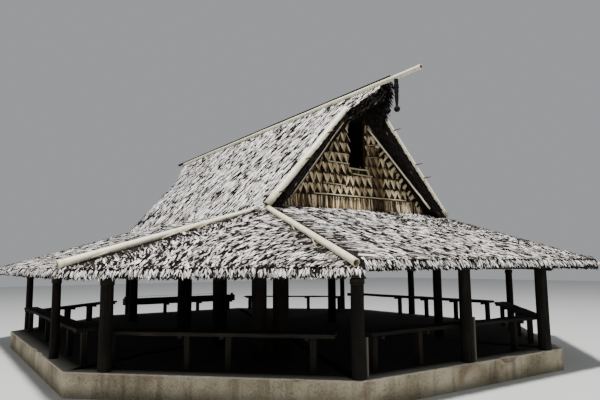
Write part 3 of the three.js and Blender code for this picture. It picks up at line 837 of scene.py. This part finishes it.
# two patches of painted shadow of the hood on the front wall, right of the vent and under it: low and high corner, and
# share of the tone
hoodShadowPatches = [((0.22, 3.155), (0.518, 3.739), 0.45), ((0.33, 2.662), (0.618, 3.158), 0.45)]


def onWall(facet, offset, height, lift=0.0):
    offset, height = np.asarray(offset, float), np.asarray(height, float)
    x = ridgeX + offset
    y = facet.middle[1] - (facet.up[0] * (x - facet.middle[0]) + facet.up[2] * (height - facet.middle[2])) / facet.up[1]
    return np.stack([x, y, height], axis=-1) + facet.up * lift


def addWallLeaves(stock, facet, offset, height, tipOffset, tipHeight, lift, tone, widths=gable["width"]):
    base = onWall(facet, offset, height)
    tip = onWall(facet, tipOffset, tipHeight)
    place = offset * -np.sign(facet.up[1])
    # leaves inside a patch are darkened: painted shadow of the hood
    for (x0, z0), (x1, z1), share in hoodShadowPatches:
        inHoodShadow = (place > x0) & (place < x1) & (height > z0) & (height < z1)
        tone = np.where(inHoodShadow, tone * share, tone)
    keep = facet.holds(base * 0.75 + tip * 0.25)
    base, tip, lift, tone = base[keep], tip[keep], lift[keep], tone[keep]
    length = np.linalg.norm(tip - base, axis=1)
    width = stock.random.uniform(*widths, len(base))
    up = np.repeat(facet.up[None], len(base), axis=0)
    addLeaves(stock, base, tip - base, up, length, width, lift, tone, gable)


def gableWall(name, sign, seed):
    stock = Stock(seed)
    draw = stock.random
    facet = Facet("gable_wall_" + name, lambda normal: normal.y * sign > 0.95)
    for top in np.arange(gable["lowest"] + gable["row"], gable["highest"], gable["row"]):
        centres = np.arange(-1.75, 1.75, gable["lappet"]) + draw.uniform(0, gable["lappet"])
        count = len(centres)
        for blade in range(gable["blades"]):
            shift = gable["spread"] - 0.024 * blade
            # the blades leaning one way take the lit tones and the others the shaded ones: painted light and shade on
            # the two sides of each fold
            for way, tones in ((-1, gable["lit"]), (1, gable["shaded"])):
                offset = centres + way * shift + draw.normal(0, 0.006, count)
                height = top + draw.normal(0, 0.008, count)
                tipHeight = top - gable["drop"] + draw.normal(0, 0.012, count) + 0.012 * blade
                lift = np.stack([draw.uniform(0.004, 0.01, count), draw.uniform(0.016, 0.034, count)], axis=1)
                tone = draw.uniform(*tones, count)
                addWallLeaves(stock, facet, offset, height, centres - way * 0.012, tipHeight, lift, tone)
        # a dark backing row under each course: painted shade between the lappets
        count *= 3
        offset = draw.uniform(-1.75, 1.75, count)
        tipOffset = offset + draw.normal(0, 0.02, count)
        lift = np.tile((0.0, 0.012), (count, 1))
        tone = draw.uniform(*gable["backing"], count)
        addWallLeaves(stock, facet, offset, np.full(count, top), tipOffset, np.full(count, top - 0.22), lift, tone)
    count = int(3.4 / gable["hangStep"])
    offset = draw.uniform(-1.7, 1.7, count)
    tipHeight = gable["lowest"] - draw.uniform(*gable["hang"], count)
    lift = np.stack([draw.uniform(0.0, 0.01, count), draw.uniform(0.01, 0.04, count)], axis=1)
    tone = draw.uniform(*gable["hangTone"], count)
    tipOffset = offset + draw.normal(0, 0.02, count)
    addWallLeaves(stock, facet, offset, np.full(count, gable["lowest"]), tipOffset, tipHeight, lift, tone)
    if name == "front":
        addPleats(stock, facet)
    stock.make("wall_leaves_" + name, "wall", "leaf_wall")
    return facet


def addPleats(stock, facet):
    # light and dark leaf folds in turn, on the left of the right raking strip: painted light and shade of the folds
    draw = stock.random
    start, end = np.array(pleats["from"]), np.array(pleats["to"])
    count = int(np.linalg.norm(end - start) / pleats["step"])
    for half, tones in ((0.0, pleats["light"]), (0.5, pleats["dark"])):
        share = (np.arange(count) + half + draw.uniform(-0.15, 0.15, count)) / count
        middle = start + (end - start) * share[:, None]
        reach = np.array(pleats["across"]) * draw.uniform(*pleats["reach"], count)[:, None] / 2
        lift = np.tile((0.02, 0.04), (count, 1))
        tone = draw.uniform(*tones, count)
        addWallLeaves(stock, facet, *(middle + reach).T, *(middle - reach).T, lift, tone, pleats["width"])


def addBattens(facets):
    stock = Stock(210)
    for name, facet in facets.items():
        side = 1 if name == "front" else -1
        for (x0, z0), (x1, z1), radius, tone in battens:
            start = onWall(facet, side * x0, z0, 0.032)
            end = onWall(facet, side * x1, z1, 0.032)
            addCulmStrip(stock, start, end, radius, tone)
        offset, height = rakingStrip["top"]
        start = onWall(facet, side * offset, height, 0.045)
        offset, height = rakingStrip["foot"]
        end = np.array((ridgeX + side * offset, -side * rakingStrip["footY"], height))
        addCulmStrip(stock, start, end, rakingStrip["radius"], rakingStrip["tone"])
    stock.make("wall_battens", "bamboo", "bamboo", smooth=True)


def addCulmStrip(stock, start, end, radius, tone):
    # split bamboo, flat behind and round in front
    side, up, run = crossFrame(start, end)
    ring, angle = circle(8)
    length = np.linalg.norm(end - start)
    reach = np.linspace(0, length, max(2, int(length / 0.15)) + 1)[:, None]
    path = start + run * reach + up * stock.random.normal(0, 0.002, (len(reach), 1))
    outlines = np.broadcast_to(ring[None] * (radius * 0.6, radius), (len(reach), 8, 2))
    sweep(stock, path, side, up, outlines, tone + stock.random.uniform(-0.1, 0.1))


wallFacets = {"front": gableWall("front", -1, 201), "back": gableWall("back", 1, 202)}
addBattens(wallFacets)
print("gable walls made")


# Strips of split bamboo that peep out from under the hip poles, on the verge and on the hood's edges

strips = {
    "hip_pole_left": (0.3, 0.6, 0.66, 0.72, 0.78), "hip_pole_right": (0.42, 0.68), "length": (0.25, 0.5),
    "radius": 0.01, "tone": 0.45, "hoodRadius": 0.016, "hoodTone": 0.2,
    "verge": ((-0.5, 3.95), (-1.56, 2.63)), "vergeRadius": 0.013, "vergeTone": 1.08, "proud": 0.026,
}


def addStrips():
    stock = Stock(220)
    draw = stock.random
    facet = skirtFacets["front_left"]
    for node in ("hip_pole_left", "hip_pole_right"):
        (start, end), _ = axisOf(nodePoints(node))
        run = unit(end - start)
        inwards = np.cross(facet.up, run)
        inwards = inwards * np.sign((facet.middle - start) @ inwards)
        for share in strips[node]:
            at = start + (end - start) * (share + draw.uniform(-0.02, 0.02))
            at = at - facet.up * ((at - facet.middle) @ facet.up - 0.03)
            tip = at + inwards * draw.uniform(0.07, 0.13) - run * draw.uniform(*strips["length"])
            addCulmStrip(stock, at, tip, strips["radius"], strips["tone"])
    for way in (-1, 1):
        # one on the left end of the front verge, and its like on the back one
        vergeY = way * (abs(nodePoints("main_roof_left")[:, 1]).min() + strips["proud"])
        ends = [(ridgeX + offset * -way, vergeY, height) for offset, height in strips["verge"]]
        addCulmStrip(stock, *np.array(ends), strips["vergeRadius"], strips["vergeTone"])
    for sideName, facet in mainFacets.items():
        side = -1 if sideName == "left" else 1
        steep = -facet.fall[2] / np.hypot(*facet.fall[:2])
        top = facet.triangles[..., 2].max()
        for sign, half, y0, y1 in ((-1, 0.364, 3.43, 4.07), (1, 0.546, 3.43, 4.51)):
            ends = []
            for share in (0.85, 0.3):
                spot = np.array((ridgeX + side * half * share, sign * (y1 + (y0 - y1) * share), top - steep * half * share))
                ends.append(spot + np.array((side * 0.02, 0.0, -0.02)))
            addCulmStrip(stock, *ends, strips["hoodRadius"], strips["hoodTone"])
    stock.make("split_strips", "bamboo", "bamboo", smooth=True)


addStrips()


# Benches: two boards on legs, with a deep edge board at the back and a low back rest on the rear diagonals

benchWood = {
    "gap": 0.004, "drop": 0.004, "cleat": (0.05, 0.04), "restPost": 0.07,
    # pale stakes beside two of the front posts: the post, and the stake's height, width and thickness
    "stakes": (("post_front_left_corner", 0.47, 0.05, 0.03), ("post_front_middle", 0.59, 0.07, 0.03)),
}


def addBench(node, seed):
    stock = Stock(seed)
    draw = stock.random
    points = nodePoints(node)
    centre = (points.min(axis=0) + points.max(axis=0)) / 2
    # three heights on an open bench, four with an edge board, five with a back rest
    heights = np.unique(np.round(points[:, 2], 3))
    foot = heights[0]
    under, seat = heights[2:4] if len(heights) == 4 else heights[1:3]
    run = np.linalg.svd(points[:, :2] - points[:, :2].mean(axis=0), full_matrices=False)[2][0]
    run = np.array((*run, 0.0)) * np.sign(run[np.argmax(np.abs(run))])
    up = np.array((0.0, 0.0, 1.0))
    side = np.cross(up, run)
    along, across = (points - centre) @ run, (points - centre) @ side
    along, across = along - (along.max() + along.min()) / 2, across - (across.max() + across.min()) / 2
    origin = points[0] - run * along[0] - side * across[0] - up * points[0][2]
    half, width = along.max(), across.max() * 2

    def spot(a, c, z):
        return origin + run * a + side * c + up * z

    thick = seat - under
    for place, drop in ((-0.25, 0.0), (0.25, benchWood["drop"])):
        ends = [spot(a, place * width, seat - thick / 2 - drop) for a in (-half, half)]
        addBoard(stock, *ends, up, width / 2 - benchWood["gap"], thick, draw.uniform(0.4, 0.9))
    feet = points[:, 2] < foot + 0.002
    edges = np.unique(np.round(along[feet], 2))
    legs = edges.reshape(-1, 2).mean(axis=1) if len(edges) % 2 == 0 else edges
    legDepth = across[feet].max() - across[feet].min()
    middle = (across[feet].max() + across[feet].min()) / 2
    for leg in legs:
        addBoard(stock, spot(leg, middle, foot), spot(leg, middle, under), run, legDepth, 0.078, draw.uniform(0.5, 1.0))
        cleatWidth, cleatThick = benchWood["cleat"]
        ends = [spot(leg + 0.062, c * width * 0.46, under - cleatThick / 2) for c in (-1, 1)]
        addBoard(stock, *ends, up, cleatWidth, cleatThick, draw.uniform(0.4, 0.8))
    if len(heights) == 4:
        low = points[:, 2] < under - 0.002
        low &= points[:, 2] > foot + 0.002
        place = (across[low].max() + across[low].min()) / 2
        ends = [spot(a, place, (heights[1] + under) / 2) for a in (-half, half)]
        addBoard(stock, *ends, side, under - heights[1], 0.028, draw.uniform(0.4, 0.8))
    if len(heights) == 5:
        rail, top = heights[-2], heights[-1]
        high = points[:, 2] > rail - 0.002
        place = (across[high].max() + across[high].min()) / 2
        reach = (along[high].min(), along[high].max())
        ends = [spot(a, place, (rail + top) / 2) for a in reach]
        addBoard(stock, *ends, side, top - rail, 0.03, draw.uniform(0.4, 0.8))
        inset = benchWood["restPost"] / 2
        for a in (reach[0] + inset, sum(reach) / 2, reach[1] - inset):
            ends = (spot(a, place, under), spot(a, place, top))
            addBoard(stock, *ends, run, 0.04, benchWood["restPost"], draw.uniform(0.4, 0.8))
    stock.make("boards_" + node, "seat", "bench_wood", node)


def addStakes():
    stock = Stock(240)
    for post, height, width, thick in benchWood["stakes"]:
        (start, _), (radius, _) = axisOf(nodePoints(post))
        foot = start + np.array((radius + thick / 2, -0.02, 0.0))
        addBoard(stock, foot, foot + np.array((0.0, 0.0, height)), np.array((1.0, 0.0, 0.0)), width, thick, 2.2)
    stock.make("pale_stakes", "seat", "bench_wood")


for index, node in enumerate(sorted(name for name in cadNodes if name.startswith("bench_"))):
    addBench(node, 230 + index)
addStakes()
print("benches made")


# Rafters and battens under the thatch

rafters = {"spacing": 0.55, "radius": 0.026, "battenSpacing": 0.33, "battenRadius": 0.011, "end": 0.06}


def addRafters(stock, facet, thickness):
    flat = facet.flat(facet.triangles).reshape(-1, 2)
    low, high = flat.min(axis=0), flat.max(axis=0)
    for axis, spacing, radius, sunk in ((1, rafters["spacing"], rafters["radius"], 1.0),
                                        (0, rafters["battenSpacing"], rafters["battenRadius"], 1.0)):
        shift = np.array((0.0, 0.0, -thickness)) - facet.up * radius * sunk
        for value in np.arange(low[axis] + spacing / 2, high[axis], spacing):
            ends = facet.chord(axis, value)
            if ends is None or np.linalg.norm(ends[1] - ends[0]) < 0.4:
                continue
            trim = unit(ends[1] - ends[0]) * rafters["end"]
            addLog(stock, ends[0] + trim + shift, ends[1] - trim + shift, (radius, radius), thinLog, 0.5)


stock = Stock(250)
for facet in skirtFacets.values():
    addRafters(stock, facet, 0.105)
for facet in mainFacets.values():
    addRafters(stock, facet, 0.22)
stock.make("rafters_and_battens", "frameWood", "frame_wood", smooth=True)


# Floor slab: eight sides, with a chipped upper edge and a floor top painted dark with the shade under the roof

floorSlab = {"step": 0.05, "worn": 0.006, "chips": 46, "chipWidth": (0.03, 0.16), "chipDepth": (0.01, 0.045), "arris": 0.008}


def slabOutline():
    points = nodePoints("floor_slab")
    corners = np.unique(np.round(points[points[:, 2] > points[:, 2].max() - 0.001, :2], 3), axis=0)
    return corners[np.argsort(np.arctan2(corners[:, 1], corners[:, 0]))]


def addFloorSlab():
    stock = Stock(260)
    draw = stock.random
    corners = slabOutline()
    top = nodePoints("floor_slab")[:, 2].max()
    spots, inwards = [], []
    for a, b in zip(corners, np.roll(corners, -1, axis=0)):
        count = int(np.linalg.norm(b - a) / floorSlab["step"])
        spots.append(a + (b - a) * np.arange(count)[:, None] / count)
        run = (b - a) / np.linalg.norm(b - a)
        inwards.append(np.repeat(np.array(((-run[1], run[0]),)), count, axis=0))
    spots, inwards = np.concatenate(spots), np.concatenate(inwards)
    count = len(spots)
    reach = np.arange(count) * floorSlab["step"]
    bite = np.full(count, floorSlab["arris"])
    for _ in range(floorSlab["chips"]):
        gapTo = np.abs(reach - draw.uniform(0, reach[-1]))
        bite += draw.uniform(*floorSlab["chipDepth"]) * np.exp(-(gapTo / draw.uniform(*floorSlab["chipWidth"])) ** 4)
    ring, rings, tones = np.arange(count), [], []
    # on the top, the tone rises inwards from the edge, for the painted shade under the roof
    for height, inset, tone in ((0.0, 0.0, 0.0), (0.09, 0.0, 0.0), (0.18, 0.0, 0.0), (0.25, 0.0, 0.0),
                                (None, 0.0, 0.0), (top, None, 0.0), (top, 0.06, 0.25), (top, 0.26, 1.0)):
        wear = draw.uniform(0, floorSlab["worn"], count)
        if height is None:
            plan, z = spots + inwards * wear[:, None], top - bite
        elif inset is None:
            plan, z = spots + inwards * (bite * 0.8 + wear)[:, None], np.full(count, top)
        else:
            plan, z = spots + inwards * (inset + wear)[:, None], np.full(count, height)
        rings.append(np.column_stack([plan, z]))
        tones.append(np.full(count, tone))
    after = (ring + 1) % count
    first = np.arange(len(rings) - 1)[:, None] * count
    quads = np.stack([first + ring, first + after, first + count + after, first + count + ring], axis=-1)
    last, hub = (len(rings) - 1) * count, np.full(count, len(rings) * count)
    caps = [np.stack([hub, after, ring], axis=1), np.stack([hub + 1, last + ring, last + after], axis=1)]
    points = np.concatenate([*rings, [(0, 0, 0), (0, 0, top)]])
    tone = np.concatenate([*tones, [0.0, 1.0]])
    stock.add(points, [quads.reshape(-1, 4), *caps], points, tone)
    stock.make("worn_floor_slab", "concrete", "concrete", "floor_slab")


addFloorSlab()
print("floor made,", total["triangles"], "triangles in all")


# Materials of the nodes that stay, by the slot that the record gives them

slotPaint = {
    "thatch": "thatchUnder", "leaf_wall": "wallUnder", "post_wood": "packedWood", "frame_wood": "packedWood",
    "bench_wood": "packedWood", "bamboo": "bamboo", "ridge_wood": "packedWood", "carved_wood": "carved",
    "concrete": "concrete",
}
for part in frame["record"]["subparts"]:
    mesh = cadNodes[part["node"]].data
    mesh.materials.clear()
    mesh.materials.append(paints[slotPaint[part["material_slot"]]])
print("frame nodes painted")


# Studio: a pale floor, pale air, and a key light high up in front of the house

studio = {
    "floor": 90.0, "floorTone": (0.62, 0.62, 0.6, 1), "air": (0.87, 0.9, 0.94, 1), "airStrength": 0.4,
    "keyFrom": (-5.6, -9.4, 22.8), "keySize": 2.0, "keyPower": 10500.0,
    "fillFrom": (16.0, -6.0, 9.0), "fillSize": 10.0, "fillPower": 150.0, "aim": (0.0, 0.0, 1.8),
}


def addArea(name, place, size, power):
    lamp = bpy.data.lights.new(name, "AREA")
    lamp.size = size
    lamp.energy = power
    light = bpy.data.objects.new(name, lamp)
    light.location = place
    light.rotation_euler = (Vector(studio["aim"]) - Vector(place)).to_track_quat("-Z", "Y").to_euler()
    bpy.context.scene.collection.objects.link(light)


def addStudio():
    addArea("key_light", studio["keyFrom"], studio["keySize"], studio["keyPower"])
    addArea("fill_light", studio["fillFrom"], studio["fillSize"], studio["fillPower"])
    half = studio["floor"] / 2
    mesh = bpy.data.meshes.new("studio_floor")
    mesh.from_pydata([(-half, -half, 0), (half, -half, 0), (half, half, 0), (-half, half, 0)], [], [(0, 1, 2, 3)])
    material, wire, place, grain, tone = startPaint("studio_floor")
    endPaint(wire, studio["floorTone"], 0.9)
    mesh.materials.append(material)
    floor = bpy.data.objects.new("studio_floor", mesh)
    bpy.context.scene.collection.objects.link(floor)
    world = bpy.data.worlds.new("studio_air")
    world.use_nodes = True
    world.node_tree.nodes["Background"].inputs["Color"].default_value = studio["air"]
    world.node_tree.nodes["Background"].inputs["Strength"].default_value = studio["airStrength"]
    bpy.context.scene.world = world


addStudio()
print("studio set")
